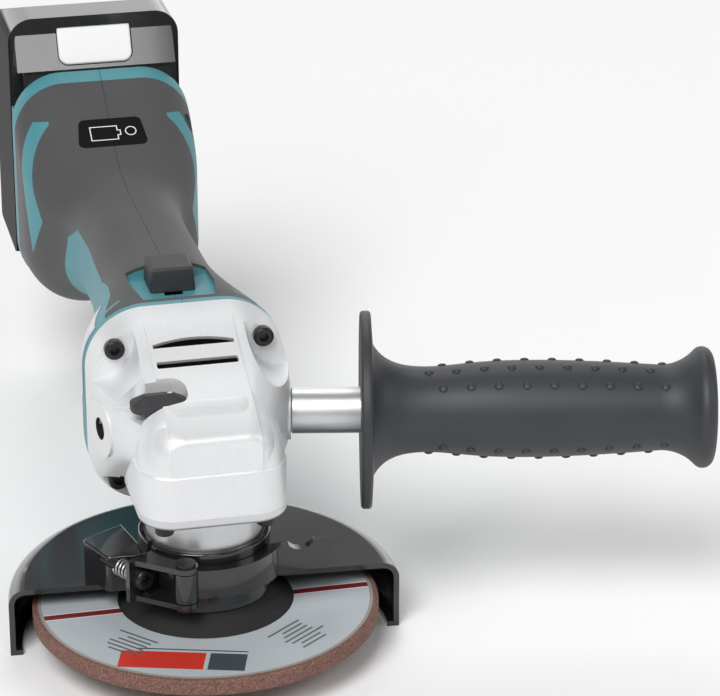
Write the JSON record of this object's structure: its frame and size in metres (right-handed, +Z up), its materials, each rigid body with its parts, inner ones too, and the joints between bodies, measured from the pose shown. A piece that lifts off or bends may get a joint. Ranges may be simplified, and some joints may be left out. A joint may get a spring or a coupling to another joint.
{
  "type": "angle grinder",
  "caption": "Cordless angle grinder with slide switch, clamped wheel guard, depressed-centre wheel, side handle and slide-on battery.",
  "frame": {"origin": "spindle axis at the lower face of the lock nut", "axes": "+Z up along the spindle, away from the wheel; +Y back towards the battery; +X towards the side handle"},
  "size_m": [0.2577, 0.3475, 0.1651],
  "materials": {
    "silver_cast": "satin",
    "bare_cast": "satin",
    "steel": "satin",
    "black_steel": "gloss",
    "abrasive": "rough",
    "teal_plastic": "satin",
    "soft_grip": "matte",
    "dark_plastic": "matte",
    "gloss_black": "gloss",
    "white_plastic": "gloss",
    "copper": "satin",
    "board": "satin"
  },
  "bodies": {
    "body": {"gear_housing": "silver_cast", "bearing_box": "bare_cast", "spindle_bearing": "steel", "bearing_retainer": "steel", "bearing_box_screws": "black_steel", "spindle_top_bearing": "steel", "gear_housing_screws": "black_steel", "handle_sleeve": "bare_cast", "handle_stud": "steel", "handle_grip": "dark_plastic", "rotor_front_bearing": "steel", "rotor_rear_bearing": "steel", "stator_core": "steel", "stator_coils": "copper", "indicator_panel": "gloss_black", "grip_left": "soft_grip", "grip_right": "soft_grip", "housing_left": "teal_plastic", "housing_right": "teal_plastic", "housing_screws": "black_steel", "air_baffle": "dark_plastic", "switch_unit": "dark_plastic", "controller": "dark_plastic", "terminal_block": "dark_plastic", "terminal_blades": "steel"},
    "spindle_set": {"grinding_wheel": "abrasive", "inner_flange": "steel", "lock_nut": "steel", "spindle": "steel", "bevel_gear": "steel"},
    "rotor": {"pinion": "steel", "rotor_shaft": "steel", "rotor_core": "steel", "fan": "dark_plastic"},
    "guard": {"wheel_guard": "black_steel", "guard_collar": "black_steel", "clamp_anchor": "black_steel", "clamp_yoke": "black_steel", "clamp_screw": "black_steel", "clamp_spring": "steel", "clamp_pin": "black_steel"},
    "clamp": {"clamp_lever": "black_steel"},
    "switch": {"switch_knob": "dark_plastic", "switch_link": "dark_plastic"},
    "shaft_lock": {"lock_button": "dark_plastic", "lock_pin": "steel", "lock_spring": "steel"},
    "battery": {"battery_front": "gloss_black", "battery_back": "gloss_black", "battery_screws": "steel", "battery_cells": "steel", "cell_holders": "dark_plastic", "battery_board": "board"},
    "latch": {"latch_button": "white_plastic", "latch_spring": "steel"}
  },
  "joints": [
    {"name": "wheel_spin", "type": "hinge", "parent": "body", "child": "spindle_set", "pos_m": [0, 0, 0.07], "axis": [0, 0, 1], "continuous": true},
    {"name": "rotor_spin", "type": "hinge", "parent": "body", "child": "rotor", "pos_m": [0, 0.05, 0.07], "axis": [0, 1, 0], "continuous": true},
    {"name": "guard_turn", "type": "hinge", "parent": "body", "child": "guard", "pos_m": [0, 0, 0.02], "axis": [0, 0, 1], "range_deg": [-90, 90]},
    {"name": "clamp_open", "type": "hinge", "parent": "guard", "child": "clamp", "pos_m": [-0.01166, -0.02655, 0.0245], "axis": [0, 0, -1], "range_deg": [0, 100]},
    {"name": "switch_slide", "type": "slide", "parent": "body", "child": "switch", "axis": [0, -1, 0], "range_m": [0, 0.006], "stiffness_N_per_m": 600},
    {"name": "lock_press", "type": "slide", "parent": "body", "child": "shaft_lock", "axis": [0, 0, -1], "range_m": [0, 0.003], "stiffness_N_per_m": 800},
    {"name": "battery_slide", "type": "slide", "parent": "body", "child": "battery", "axis": [0, 0, 1], "range_m": [0, 0.1]},
    {"name": "latch_press", "type": "slide", "parent": "battery", "child": "latch", "axis": [0, 0.8906, -0.4549], "range_m": [0, 0.0025], "stiffness_N_per_m": 800}
  ],
  "couplings": [
    {"joint": "rotor_spin", "follows": "wheel_spin", "ratio": 3.3636}
  ]
}
